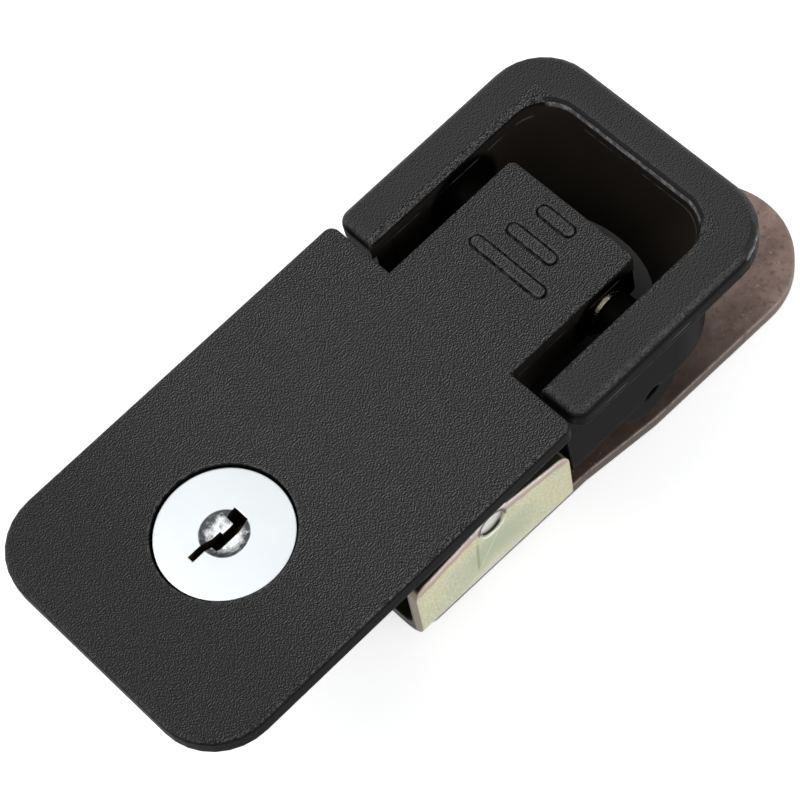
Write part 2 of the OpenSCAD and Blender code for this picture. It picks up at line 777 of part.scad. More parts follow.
module screw_pad() {
    color("silver") translate([screw_tip[0], 0, pad_bottom]) {
        cylinder(r = pad_r, h = pad_t);
        cylinder(r = spigot_r, h = pad_t + spigot_len);
    }
}

// Section of the channel, drawn in y and z, with an outer or inner skin
module channel_skin(half_w, bottom, r) {
    top = wall_mid_h + ear_r;
    translate([-half_w, bottom + r]) square([2 * half_w, top]);
    translate([r - half_w, bottom]) square([2 * (half_w - r), r]);
    for (s = [-1, 1])
        translate([s * (half_w - r), bottom + r]) circle(r);
}

// Side view of the channel's walls: raised to the middle, with an ear round the rocker pin
module wall_profile() {
    x1 = carrier_len / 2;
    end_top = wall_end_h - web_drop;
    polygon([
        [-x1, -web_drop], [x1, -web_drop],
        [x1, end_top - wall_corner_r], [x1 - wall_corner_r, end_top],
        [0, wall_mid_h - web_drop],
        [wall_corner_r - x1, end_top], [-x1, end_top - wall_corner_r]
    ]);
    for (s = [-1, 1])
        translate([s * (x1 - wall_corner_r), end_top - wall_corner_r]) circle(wall_corner_r);
    circle(ear_r);
}

// Positions of the rivets in the carrier's own frame
module each_rivet() {
    for (x = [rivet_x, rivet_x + rivet_pitch_x], s = [-1, 1])
        translate([x, s * rivet_pitch_y / 2, 0]) children();
}

module pawl_carrier() {
    color([0.72, 0.72, 0.5]) carrier_frame() difference() {
        intersection() {
            rotate([90, 0, 90]) translate([0, 0, -carrier_len]) linear_extrude(2 * carrier_len) difference() {
                channel_skin(carrier_half, -web_drop, bend_r);
                channel_skin(carrier_in, web_top, bend_r - sheet_t);
            }
            side_slab(-carrier_half - cut, carrier_half + cut) wall_profile();
        }
        y_rod(rocker_pin_r + run_clear, -carrier_half - cut, carrier_half + cut);
        translate([-screw_x, 0, -web_drop - cut]) cylinder(r = nut_shank_r, h = sheet_t + 2 * cut);
        each_rivet() translate([0, 0, -web_drop - cut]) cylinder(r = rivet_r, h = sheet_t + 2 * cut);
    }
}

// Plan of the pawl: a broad root under the channel and a round-ended tongue set to one side
module pawl_outline() {
    tongue_r = tongue_w / 2;
    neck_x = tongue_x + tongue_taper;
    mirror([1, 0]) d_outline(-tongue_x, pawl_back, pawl_w, pawl_back_r);
    polygon([
        [tongue_x, -pawl_w / 2], [neck_x, -tongue_shift - tongue_r],
        [neck_x, tongue_r - tongue_shift], [tongue_x, pawl_w / 2]
    ]);
    translate([neck_x, -tongue_shift - tongue_r]) square([pawl_reach - tongue_r - neck_x, tongue_w]);
    translate([pawl_reach - tongue_r, -tongue_shift]) circle(tongue_r);
}

module pawl() {
    color([0.34, 0.24, 0.21]) carrier_frame() difference() {
        translate([0, 0, -web_drop - pawl_t]) linear_extrude(pawl_t) pawl_outline();
        translate([-screw_x, 0, -web_drop - pawl_t - cut]) cylinder(r = access_r, h = pawl_t + 2 * cut);
        each_rivet() translate([0, 0, -web_drop - pawl_t - cut]) cylinder(r = rivet_r, h = pawl_t + 2 * cut);
    }
}

module pawl_rivets() {
    color("gray") carrier_frame() each_rivet() {
        translate([0, 0, web_top]) cylinder(r = rivet_head_r, h = rivet_head_h);
        translate([0, 0, -web_drop - pawl_t]) cylinder(r = rivet_r, h = sheet_t + pawl_t);
        translate([0, 0, -web_drop - pawl_t - rivet_head_h]) cylinder(r = rivet_head_r, h = rivet_head_h);
    }
}

module grip_nut() {
    color("darkgray") carrier_frame() translate([-screw_x, 0, 0]) difference() {
        union() {
            translate([0, 0, -web_drop]) cylinder(r = nut_shank_r, h = sheet_t);
            translate([0, 0, web_top]) cylinder(r = nut_hex_r, h = nut_h, $fn = 6);
        }
        translate([0, 0, -web_drop - cut]) cylinder(r = screw_r + run_clear, h = sheet_t + nut_h + 2 * cut);
    }
}

module grip_screw() {
    bottom = screw_sink - web_drop;
    cone_h = screw_r - screw_tip_r;
    cone_z = -screw_tip_drop - cone_h;
    color("dimgray") carrier_frame() translate([-screw_x, 0, 0]) difference() {
        union() {
            translate([0, 0, bottom]) cylinder(r = screw_r, h = cone_z - bottom);
            translate([0, 0, cone_z]) cylinder(r1 = screw_r, r2 = screw_tip_r, h = cone_h);
        }
        translate([0, 0, bottom - cut]) cylinder(r = socket_r, h = socket_depth + cut, $fn = 6);
    }
}

module rocker_spring() {
    color("lightgray") carrier_frame() translate([rocker_spring_x, 0, web_top])
        compression_spring(
            rocker_spring_r, rocker_spring_top - web_top, rocker_wire,
            rocker_turns, coil_steps, wire_sides
        );
}

// Key slot in plan: a narrow end, a stepped middle and a wide end
module key_slot() {
    translate([-slot_back, slot_shift - slot_w / 2]) square([slot_back, slot_w]);
    translate([-slot_mid_back, -slot_low]) square([slot_mid_back + slot_front, slot_mid_w]);
    translate([slot_front - slot_head, -slot_low]) square([slot_head, slot_wide_w]);
}

// Shape of the plug's tail in plan, with a gap all round
module tail_outline(gap) {
    intersection() {
        circle(tail_r + gap);
        square([tail_flat_w + 2 * gap, 3 * tail_r], center = true);
    }
}

// A wafer's outline with an ear for its spring, with a gap all round
module wafer_outline(gap) {
    square([wafer_len + 2 * gap, wafer_w + 2 * gap], center = true);
    translate([-wafer_ear_w - gap, 0]) square([wafer_ear_w + 2 * gap, wafer_w / 2 + wafer_ear_w + gap]);
}

// Places its child at every wafer's underside
module each_wafer() {
    for (i = [0 : wafer_count - 1])
        translate([-lock_x, 0, first_wafer_z + i * wafer_pitch]) children();
}

module lock_plug() {
    color("whitesmoke") difference() {
        translate([-lock_x, 0, 0]) difference() {
            union() {
                translate([0, 0, face_bottom]) cylinder(r = face_r, h = face_t);
                translate([0, 0, tail_top]) cylinder(r = plug_r, h = face_bottom - tail_top);
                translate([0, 0, cam_bottom]) linear_extrude(tail_top - cam_bottom + cut) tail_outline(0);
            }
            translate([0, 0, clip_bottom]) difference() {
                cylinder(r = plug_r + cut, h = clip_t);
                cylinder(r = plug_r - lock_groove, h = clip_t);
            }
            translate([0, 0, face_bottom + face_t - dish_depth])
                cylinder(r1 = dish_floor_r, r2 = dish_r, h = dish_depth);
            translate([0, 0, -slot_drop]) linear_extrude(slot_drop + lever_top + cut) key_slot();
            translate([0, 0, cam_bottom - cut]) cylinder(r = cam_screw_r, h = cam_screw_len + cut);
        }
        each_wafer() translate([0, 0, -wafer_gap]) linear_extrude(wafer_t + 2 * wafer_gap) {
            wafer_outline(wafer_gap);
            translate([0, wafer_w / 2 - wafer_gap])
                square([wafer_spring_len + wafer_gap, wafer_ear_w + wafer_gap]);
        }
    }
}

module wafers() {
    color("khaki") each_wafer() linear_extrude(wafer_t) difference() {
        wafer_outline(0);
        translate([-wafer_window / 2, -slot_low]) square([wafer_window, slot_mid_w]);
    }
}

module wafer_springs() {
    color("lightgray") each_wafer()
        translate([0, wafer_w / 2 + wafer_ear_w / 2, wafer_t / 2]) rotate([0, 90, 0])
            compression_spring(
                wafer_spring_r, wafer_spring_len, wafer_wire,
                wafer_spring_turns, fine_steps, fine_sides
            );
}

module lock_clip() {
    color("dimgray") translate([-lock_x, 0, clip_bottom]) difference() {
        cylinder(r = lock_clip_r, h = clip_t);
        translate([0, 0, -cut]) cylinder(r = plug_r - lock_groove, h = clip_t + 2 * cut);
        translate([0, -lock_clip_mouth / 2, -cut])
            cube([lock_clip_r + cut, lock_clip_mouth, clip_t + 2 * cut]);
    }
}

module lock_cam() {
    color("silver") translate([-lock_x, 0, cam_bottom]) linear_extrude(cam_t) difference() {
        union() {
            circle(cam_hub_r);
            translate([-cam_w / 2, 0]) square([cam_w, cam_reach - cam_w / 2]);
            translate([0, cam_reach - cam_w / 2]) circle(cam_w / 2);
        }
        tail_outline(tail_gap);
    }
}

module cam_washer() {
    color("silver") translate([-lock_x, 0, washer_bottom]) difference() {
        cylinder(r = washer_r, h = washer_t);
        translate([0, 0, -cut]) cylinder(r = cam_screw_r + tail_gap, h = washer_t + 2 * cut);
    }
}

module cam_screw() {
    color("gray") translate([-lock_x, 0, 0]) difference() {
        union() {
            translate([0, 0, washer_bottom - cam_head_h]) cylinder(r = cam_head_r, h = cam_head_h);
            translate([0, 0, washer_bottom])
                cylinder(r = cam_screw_r, h = washer_t + cam_screw_len - tail_gap);
        }
        for (turn = [0, 90])
            translate([0, 0, washer_bottom - cam_head_h]) rotate([0, 0, turn])
                cube([cross_len, cross_w, 2 * cross_depth], center = true);
    }
}

housing();
lever_pin();
pin_clips();
lever_spring();
lever();
pivot_bushes();
rocker_pin();
rocker_pin_rings();
screw_pad();
pawl_carrier();
pawl();
pawl_rivets();
grip_nut();
grip_screw();
rocker_spring();
lock_plug();
wafers();
wafer_springs();
lock_clip();
lock_cam();
cam_washer();
cam_screw();
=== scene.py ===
import json

import bpy
from mathutils import Matrix, Vector


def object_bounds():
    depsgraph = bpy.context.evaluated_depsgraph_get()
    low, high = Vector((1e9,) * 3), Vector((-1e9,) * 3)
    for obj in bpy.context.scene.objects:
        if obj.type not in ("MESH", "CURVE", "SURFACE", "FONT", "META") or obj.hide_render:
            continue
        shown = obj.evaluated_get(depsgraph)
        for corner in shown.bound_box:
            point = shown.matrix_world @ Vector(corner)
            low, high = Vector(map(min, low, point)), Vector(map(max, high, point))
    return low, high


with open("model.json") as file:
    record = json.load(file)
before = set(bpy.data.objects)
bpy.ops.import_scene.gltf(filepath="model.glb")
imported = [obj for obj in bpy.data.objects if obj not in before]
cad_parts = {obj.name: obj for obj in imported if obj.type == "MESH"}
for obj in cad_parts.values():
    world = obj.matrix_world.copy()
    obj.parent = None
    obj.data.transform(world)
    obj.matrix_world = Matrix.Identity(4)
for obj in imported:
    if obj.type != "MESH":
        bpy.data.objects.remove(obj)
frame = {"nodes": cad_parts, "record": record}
cad_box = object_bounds()
nodes = frame["nodes"]
scene = bpy.context.scene

# Places in the part's frame, in metres, that the finishes refer to
HINGE_Z = -0.0033  # the lever's hinge pin, along y at x = 0
LOCK_X = -0.0636  # the lock's axis, along z at y = 0
ROCKER_X, ROCKER_Z = -0.0332, -0.013  # the pawl carrier's cross pin, along y
CARRIER_TILT = 0.0384  # slope at which the carrier hangs
ARMS_FROM = (-0.0182, -0.0178)  # where the housing's arms begin, along x

# Sockets of a Mix node for each type of data: factor, first, second and result
MIX_SOCKETS = {"RGBA": (0, 6, 7, 2), "FLOAT": (0, 2, 3, 0)}


class Net:
    """A material's node tree, with short helpers."""

    def __init__(self, name):
        self.mat = bpy.data.materials.new(name)
        self.mat.use_nodes = True
        self.tree = self.mat.node_tree
        self.tree.nodes.clear()
        out = self.node("ShaderNodeOutputMaterial")
        self.bsdf = self.node("ShaderNodeBsdfPrincipled")
        self.tree.links.new(self.bsdf.outputs[0], out.inputs["Surface"])
        coords = self.node("ShaderNodeTexCoord")
        self.pos = coords.outputs["Object"]
        self.x, self.y, self.z = self.split(self.pos)
        self.nx, self.ny, self.nz = self.split(coords.outputs["Normal"])

    def node(self, kind, **settings):
        n = self.tree.nodes.new(kind)
        for key, value in settings.items():
            setattr(n, key, value)
        return n

    def put(self, socket, value):
        """Link another node's output to a socket, or set a constant on it."""
        if hasattr(value, "is_output"):
            self.tree.links.new(value, socket)
        elif socket.type == "RGBA":
            socket.default_value = opaque(value)
        else:
            socket.default_value = value

    def split(self, vector):
        n = self.node("ShaderNodeSeparateXYZ")
        self.put(n.inputs[0], vector)
        return n.outputs[0], n.outputs[1], n.outputs[2]

    def math(self, op, a, b=0.0):
        n = self.node("ShaderNodeMath", operation=op)
        self.put(n.inputs[0], a)
        self.put(n.inputs[1], b)
        return n.outputs[0]

    def plus(self, a, b):
        return self.math("ADD", a, b)

    def minus(self, a, b):
        return self.math("SUBTRACT", a, b)

    def times(self, a, b):
        return self.math("MULTIPLY", a, b)

    def either(self, a, b):
        return self.math("MAXIMUM", a, b)

    def size(self, a):
        return self.math("ABSOLUTE", a)

    def distance(self, a, b):
        return self.math("SQRT", self.plus(self.times(a, a), self.times(b, b)))

    def both(self, *masks):
        total = masks[0]
        for m in masks[1:]:
            total = self.times(total, m)
        return total

    def step(self, value, low, high):
        """0 below low, 1 above high and smooth between. It falls where low is above high."""
        n = self.node("ShaderNodeMapRange", interpolation_type="SMOOTHSTEP")
        flip = low > high
        self.put(n.inputs["Value"], value)
        self.put(n.inputs["From Min"], min(low, high))
        self.put(n.inputs["From Max"], max(low, high))
        self.put(n.inputs["To Min"], 1.0 if flip else 0.0)
        self.put(n.inputs["To Max"], 0.0 if flip else 1.0)
        return n.outputs["Result"]

    def noise(self, scale, detail=2.0, rough=0.5, vector=None):
        n = self.node("ShaderNodeTexNoise")
        self.put(n.inputs["Vector"], vector or self.pos)
        self.put(n.inputs["Scale"], scale)
        self.put(n.inputs["Detail"], detail)
        self.put(n.inputs["Roughness"], rough)
        return n.outputs["Fac"]

    def stretched(self, scale, shift=(0, 0, 0)):
        """The place in the part's frame, scaled along each axis and then shifted."""
        n = self.node("ShaderNodeMapping")
        self.put(n.inputs["Vector"], self.pos)
        self.put(n.inputs["Scale"], scale)
        self.put(n.inputs["Location"], shift)
        return n.outputs[0]

    def mixed(self, kind, fac, a, b):
        factor, first, second, result = MIX_SOCKETS[kind]
        n = self.node("ShaderNodeMix", data_type=kind)
        self.put(n.inputs[factor], fac)
        self.put(n.inputs[first], a)
        self.put(n.inputs[second], b)
        return n.outputs[result]

    def mix(self, fac, a, b):
        """From one colour to another."""
        return self.mixed("RGBA", fac, a, b)

    def blend(self, fac, a, b):
        """From one number to another."""
        return self.mixed("FLOAT", fac, a, b)

    def coat(self, under, colour, *masks):
        """A colour laid over another where all the masks say. A mask can be a plain strength."""
        return self.mix(self.both(*masks), under, colour)

    def grey(self, tone):
        n = self.node("ShaderNodeCombineColor")
        for channel in n.inputs:
            self.put(channel, tone)
        return n.outputs[0]

    def rounded(self, radius):
        n = self.node("ShaderNodeBevel", samples=6)
        self.put(n.inputs["Radius"], radius)
        return n.outputs[0]

    def edges(self, radius, low, high):
        """1 along the part's edges, from how far a rounded normal leans off the face."""
        geo = self.node("ShaderNodeNewGeometry")
        dot = self.node("ShaderNodeVectorMath", operation="DOT_PRODUCT")
        self.put(dot.inputs[0], self.rounded(radius))
        self.put(dot.inputs[1], geo.outputs["Normal"])
        return self.step(dot.outputs["Value"], high, low)

    def bump(self, height, strength, distance, normal):
        n = self.node("ShaderNodeBump")
        self.put(n.inputs["Height"], height)
        self.put(n.inputs["Strength"], strength)
        self.put(n.inputs["Distance"], distance)
        self.put(n.inputs["Normal"], normal)
        return n.outputs[0]

    def finish(self, colour, rough, metal=0.0, specular=0.5, normal=None):
        self.put(self.bsdf.inputs["Base Color"], colour)
        self.put(self.bsdf.inputs["Roughness"], rough)
        self.put(self.bsdf.inputs["Metallic"], metal)
        self.put(self.bsdf.inputs["Specular IOR Level"], specular)
        if normal:
            self.put(self.bsdf.inputs["Normal"], normal)
        return self.mat


def opaque(colour):
    return (*colour, 1.0)


def moulded_black(name):
    """Black moulded plastic: leather grain with painted light and shade on the show faces, smooth
    sides, edges paler from wear and painted highlight, and painted shade and light in the finger well.
    """
    side_black, side_grey = (0.004, 0.004, 0.0041), (0.008, 0.008, 0.0081)
    well_shade_brown, floor_painted_light = (0.019, 0.0155, 0.0125), (0.113, 0.113, 0.113)
    hinge_painted_shade = (0.002, 0.0016, 0.0013)
    seam_glint_grey, burnish_highlight = (0.07, 0.07, 0.07), (0.14, 0.136, 0.13)
    lip_shade_colour, lip_glint_colour = (0.006, 0.006, 0.006), (0.36, 0.35, 0.365)
    lever_tone, rim_tone, darkest_tone = 0.018, 0.026, 0.0015
    cloud_gain, flank_light_gain, rib_gain = 0.01, 0.36, 0.008
    grain_scale, flank_light_shift = (4000, 4300, 4300), (0.0, 0.55, 0.0)

    m = Net(name)
    across = m.size(m.y)
    show = m.both(m.step(m.z, 0.0012, 0.0024), m.step(m.nz, 0.3, 0.8))

    # Fine leather grain, drawn out along the latch, with painted light and shade: the far flank of each
    # lump is painted paler than the near one, as if lit from one side. The grain is shallow on the rim,
    # and the lever's end is smoother and darker.
    lumps = m.noise(1.0, 0.0, 0.5, m.stretched(grain_scale))
    beside = m.noise(1.0, 0.0, 0.5, m.stretched(grain_scale, flank_light_shift))
    painted_flank_light = m.minus(lumps, beside)
    rim = m.either(m.step(across, 0.0185, 0.019), m.step(m.x, 0.0175, 0.0185))
    rim = m.both(rim, m.step(m.x, *ARMS_FROM))
    toward_lever_end = m.step(m.x, -0.048, -0.08)
    depth = m.blend(rim, m.blend(toward_lever_end, 1.0, 0.62), 0.28)
    cloud = m.noise(60, 3.0, 0.6)
    tone = m.plus(m.blend(rim, lever_tone, rim_tone), m.times(cloud, cloud_gain))
    tone = m.times(tone, m.blend(toward_lever_end, 1.0, 0.58))
    tone = m.plus(tone, m.times(m.times(painted_flank_light, depth), flank_light_gain))

    # The finger tab's ribs are a little paler than the tab, and the grooves round them get painted
    # shade
    ribs = m.both(
        m.step(m.z, 0.00355, 0.00365),
        m.step(m.z, 0.00385, 0.00375),
        m.step(m.x, -0.012, -0.0115),
    )
    tone = m.either(m.plus(tone, m.times(ribs, rib_gain)), darkest_tone)
    groove_shade = m.both(
        m.step(m.z, 0.0034, 0.0031),
        m.step(m.x, -0.0095, -0.0088),
        m.step(m.x, 0.0052, 0.0046),
        m.step(across, 0.0105, 0.0098),
    )
    tone = m.times(tone, m.blend(groove_shade, 1.0, 0.1))
    top = m.grey(tone)

    # The outer sides are plain. The finger well is painted with shade, a brown-black, and its floor
    # with light, a pale grey; round the hinge it is painted darker still, as shade. Its mask leaves out
    # the walls that face away from the middle of the well, outside the housing.
    sides = m.mix(cloud, side_black, side_grey)
    facing = m.plus(m.times(m.x, m.nx), m.times(m.y, m.ny))
    well = m.both(
        m.step(across, 0.0184, 0.0176),
        m.step(m.x, 0.0192, 0.0184),
        m.step(m.z, 0.0031, 0.0025),
        m.step(m.x, -0.0186, -0.0178),
        m.step(facing, 0.0205, 0.019),
    )
    floor_lit = m.both(m.step(m.z, -0.013, -0.015), m.step(m.nz, 0.7, 0.9))
    hollow = m.mix(floor_lit, well_shade_brown, floor_painted_light)
    # Painted shade round the hinge pin inside the well
    from_hinge = m.distance(m.x, m.plus(m.z, -HINGE_Z))
    hollow = m.coat(hollow, hinge_painted_shade, m.step(from_hinge, 0.0075, 0.006))
    sides = m.mix(well, sides, hollow)
    # The moulding seam on the sides, painted as a pale highlight line in patches
    seam_glint_mask = m.both(
        m.step(m.z, 0.00085, 0.001),
        m.step(m.z, 0.0013, 0.00115),
        m.step(m.x, *ARMS_FROM),
    )
    sides = m.coat(sides, seam_glint_grey, seam_glint_mask, m.step(m.noise(300, 2.0, 0.6), 0.4, 0.6))
    skin = m.mix(show, sides, top)

    # Paler edges: on sharp edges partly wear and partly painted highlight, fainter below the show side;
    # on the turned-over lips a painted highlight. The well's far lip has a painted highlight line over
    # a painted shade line.
    patchy = m.step(m.noise(1100, 3.0, 0.65), 0.42, 0.64)
    seen_side = m.blend(m.step(m.z, -0.0002, 0.0015), 0.12, 0.7)
    sharp = m.times(m.edges(0.0009, 0.9, 0.993), m.blend(well, seen_side, 0.0))
    far_lip = m.both(
        m.step(m.x, 0.0165, 0.0175),
        m.step(m.x, 0.0222, 0.0212),
        m.step(m.z, 0.0022, 0.0026),
    )
    rounding_highlight = m.both(
        m.step(m.z, 0.0014, 0.002),
        m.step(m.nz, 0.45, 0.62),
        m.step(m.nz, 0.93, 0.82),
        m.blend(far_lip, 0.25, 0.0),
    )
    edge_wear_highlight = m.times(m.either(sharp, rounding_highlight), patchy)
    lip_glint_band = m.both(
        far_lip,
        m.step(m.nz, 0.16, 0.28),
        m.step(m.nz, 0.52, 0.4),
        m.blend(patchy, 0.35, 1.0),
    )
    lip_shade_band = m.both(far_lip, m.step(m.nz, 0.55, 0.7), m.step(m.nz, 0.97, 0.9))
    skin = m.coat(skin, lip_shade_colour, lip_shade_band, 0.8)
    skin = m.coat(skin, lip_glint_colour, lip_glint_band)
    colour = m.coat(skin, burnish_highlight, edge_wear_highlight)

    rough = m.blend(edge_wear_highlight, m.blend(show, 0.45, 0.55), 0.38)
    height = m.times(lumps, m.both(show, depth))
    normal = m.bump(height, 0.5, 0.00025, m.rounded(0.00045))
    shine = m.blend(show, m.blend(well, 0.018, 0.012), 0.17)
    return m.finish(colour, rough, 0.0, shine, normal)


def zinc_plate(name):
    """Zinc plated sheet with a pale yellow-green passivation that turns pink below the cut edges."""
    cool_yellow, warm_yellow, pale_speck = (0.45, 0.49, 0.34), (0.6, 0.56, 0.345), (0.7, 0.7, 0.53)
    pale_foot, wall_green = (0.66, 0.68, 0.57), (0.38, 0.45, 0.31)
    edge_tan, edge_pink, silver_edge_highlight = (0.36, 0.25, 0.14), (0.55, 0.36, 0.38), (0.66, 0.66, 0.66)
    end_yellow, end_face_shade = (0.62, 0.54, 0.36), (0.23, 0.19, 0.11)
    edge_highlight_pale, shade_brown_black = (0.76, 0.76, 0.78), (0.014, 0.011, 0.007)
    crease_shade_dark, crease_highlight_pale = (0.24, 0.24, 0.14), (0.72, 0.74, 0.6)
    hole_shadow_dark, hole_highlight_bright = (0.05, 0.038, 0.026), (0.85, 0.85, 0.82)
    peak_rise, peak_slope = 0.0025, 0.1765  # the wall's top edge: height over the pin, fall beside it
    fan_foot, fan_slope, fan_skew = 0.0095, 0.34, 0.4  # the pressed mark: depth, half angle, lean

    m = Net(name)
    # Place on the channel's wall from its pin, in the tilted channel's own frame: along the wall,
    # up it, and down from its raised top edge
    dx = m.plus(m.x, -ROCKER_X)
    dz = m.plus(m.z, -ROCKER_Z)
    along = m.minus(dx, m.times(dz, CARRIER_TILT))
    rise = m.plus(dz, m.times(dx, CARRIER_TILT))
    side = m.size(along)
    down = m.minus(m.minus(peak_rise, m.times(side, peak_slope)), rise)

    # Passivation in drifts and fine specks, greener in the middle and paler at the foot
    drift = m.noise(110, 4.0, 0.6)
    fine = m.noise(2300, 3.0, 0.65)
    base = m.mix(m.step(drift, 0.34, 0.64), cool_yellow, warm_yellow)
    base = m.coat(base, pale_speck, m.step(fine, 0.45, 0.62), 0.85)
    low = m.step(m.plus(down, m.times(drift, 0.004)), 0.012, 0.0175)
    base = m.coat(base, pale_foot, low, 0.7)
    green = m.both(m.step(side, 0.011, 0.002), m.step(down, 0.003, 0.007), m.step(down, 0.014, 0.009))
    base = m.coat(base, wall_green, green, 0.75)

    # Wavy bands of colour along the wall's top edge, ending in a painted silver highlight line, and the
    # channel's ends
    wall = m.step(m.size(m.ny), 0.3, 0.8)
    wave = m.plus(down, m.times(m.minus(m.noise(420, 2.0, 0.5), 0.5), 0.0012))
    base = m.coat(base, edge_tan, m.both(wall, m.step(wave, 0.002, 0.0013)), 0.8)
    base = m.coat(base, edge_pink, m.both(wall, m.step(wave, 0.0013, 0.0009)), 0.85)
    base = m.coat(base, silver_edge_highlight, m.both(wall, m.step(wave, 0.0006, 0.0002)), 0.8)
    ends = m.step(side, 0.0143, 0.0154)
    base = m.coat(base, end_yellow, ends, 0.4)
    # Painted shade on the end faces
    base = m.coat(base, end_face_shade, ends, m.step(m.size(m.nx), 0.6, 0.85), 0.95)
    # Painted highlight along the sheet's edges, which are also smoother
    bright = m.edges(0.0005, 0.75, 0.95)
    colour = m.coat(base, edge_highlight_pale, bright, 0.75)

    # Painted shade on the top edges under the lever and inside the channel
    across = m.size(m.y)
    shade_under_lever = m.both(m.step(m.nz, 0.5, 0.8), m.step(across, 0.0204, 0.0201), 0.97)
    shade_under_lever = m.either(shade_under_lever, m.times(m.step(across, 0.0188, 0.0184), 0.9))
    colour = m.coat(colour, shade_brown_black, shade_under_lever)

    # Pressed fan below the pin's hole, skewed to the lock's end, with painted shade on one side of its
    # crease and a painted highlight on the other; the hole's lip has painted shadow above and a painted
    # highlight below
    skew = m.minus(along, m.times(rise, fan_skew))
    half = m.times(m.plus(rise, fan_foot), fan_slope)
    past = m.minus(m.size(skew), half)
    below = m.both(wall, m.step(rise, -0.001, -0.0025), m.step(rise, -0.0095, -0.0085))
    fan = m.both(below, m.step(past, 0.0003, -0.0003))
    line = m.both(below, m.step(m.size(past), 0.0004, 0.0001))
    colour = m.coat(colour, crease_shade_dark, line, m.step(skew, 0.0, -0.0002), 0.55)
    colour = m.coat(colour, crease_highlight_pale, line, m.step(skew, 0.0, 0.0002), 0.4)
    lip = m.both(wall, m.step(m.distance(along, rise), 0.0031, 0.0027))
    colour = m.coat(colour, hole_shadow_dark, lip, m.step(rise, -0.0008, 0.0002), 0.9)
    colour = m.coat(colour, hole_highlight_bright, lip, m.step(rise, -0.0012, -0.002), 0.8)

    height = m.plus(m.times(m.noise(2600, 2.0, 0.5), 0.1), fan)
    rough = m.blend(bright, m.blend(fine, 0.34, 0.52), 0.24)
    normal = m.bump(height, 0.45, 0.00022, m.rounded(0.0006))
    return m.finish(colour, rough, m.blend(shade_under_lever, 0.5, 0.0), m.blend(shade_under_lever, 0.5, 0.06), normal)


def brown_steel(name):
    """Brown coated steel with dark blotches and pits, tan edges from wear and painted highlight, a few
    golden specks, and painted shade at the root and on the sides.
    """
    dark_brown, light_brown, streak_brown = (0.16, 0.107, 0.09), (0.36, 0.247, 0.21), (0.36, 0.26, 0.22)
    root_painted_shade, pit_shade, side_painted_shade = (0.05, 0.03, 0.022), (0.07, 0.048, 0.04), (0.06, 0.044, 0.036)
    gold, tan_wear_highlight = (0.46, 0.34, 0.17), (0.4, 0.33, 0.28)

    m = Net(name)
    blotch = m.noise(110, 4.0, 0.62)
    streak = m.noise(1.0, 3.0, 0.6, m.stretched((160, 620, 400)))
    base = m.mix(m.step(blotch, 0.3, 0.66), dark_brown, light_brown)
    base = m.coat(base, streak_brown, m.step(streak, 0.5, 0.8), 0.5)
    # Painted shade towards the root, under the housing
    base = m.coat(base, root_painted_shade, m.step(m.x, 0.03, 0.012), 0.72)
    base = m.coat(base, pit_shade, m.step(m.noise(900, 3.0, 0.65), 0.52, 0.66), 0.45)
    # Painted shade on the faces that turn sideways
    base = m.coat(base, side_painted_shade, m.step(m.nz, 0.6, 0.3), 0.6)
    specks = m.both(
        m.step(m.noise(1900, 2.0, 0.5), 0.63, 0.72),
        m.step(m.noise(80, 2.0, 0.5), 0.46, 0.6),
    )
    colour = m.coat(base, gold, specks, 0.8)
    # Tan edges: partly wear, partly painted highlight
    edge_wear_highlight = m.both(m.edges(0.0011, 0.8, 0.985), m.step(m.noise(500, 3.0, 0.6), 0.26, 0.55))
    colour = m.coat(colour, tan_wear_highlight, edge_wear_highlight, 0.7)
    rough = m.blend(edge_wear_highlight, m.blend(blotch, 0.38, 0.6), 0.36)
    normal = m.bump(m.noise(1300, 3.0, 0.6), 0.25, 0.00009, m.rounded(0.0005))
    return m.finish(colour, rough, 0.4, 0.4, normal)


def bright_plate(name):
    """Bright plated lock: satin face, rough cast dish with painted shading, painted shade inside."""
    face_grey, face_pale = (0.64, 0.672, 0.692), (0.71, 0.742, 0.762)
    dish_centre_light, dish_rim_shade = (0.85, 0.87, 0.87), (0.07, 0.073, 0.08)
    slot_shade_dark, rim_brown = (0.016, 0.011, 0.007), (0.1, 0.062, 0.018)

    m = Net(name)
    radius = m.distance(m.plus(m.x, -LOCK_X), m.y)
    dish = m.both(m.step(radius, 0.0038, 0.0036), m.step(m.z, 0.0012, 0.0018))
    cast = m.noise(1000, 4.0, 0.7)
    face = m.mix(m.noise(120, 3.0, 0.5), face_grey, face_pale)
    # The mottled rough cast dish, with painted shading: pale in the middle and dark towards its rim
    bowl_shading = m.plus(m.step(radius, 0.0014, 0.0036), m.times(m.minus(cast, 0.5), 2.6))
    cast_mottle_shading = m.mix(m.step(bowl_shading, 0.0, 1.0), dish_centre_light, dish_rim_shade)
    colour = m.mix(dish, face, cast_mottle_shading)
    # The keyway and the inner walls are painted dark as shade, browner towards the rim
    deep_shade_mask = m.step(m.z, 0.0016, 0.0006)
    walls = m.both(m.step(radius, 0.0095, 0.009), m.step(m.size(m.nz), 0.5, 0.35))
    deep_shade_mask = m.either(deep_shade_mask, walls)
    inner = m.mix(m.step(radius, 0.0045, 0.006), slot_shade_dark, rim_brown)
    colour = m.mix(deep_shade_mask, colour, inner)
    rough = m.blend(dish, 0.3, 0.34)
    height = m.times(cast, m.blend(dish, 0.01, 1.0))
    normal = m.bump(height, 0.8, 0.0006, m.rounded(0.00022))
    return m.finish(colour, rough, m.blend(deep_shade_mask, 0.9, 0.0), m.blend(deep_shade_mask, 0.5, 0.05), normal)


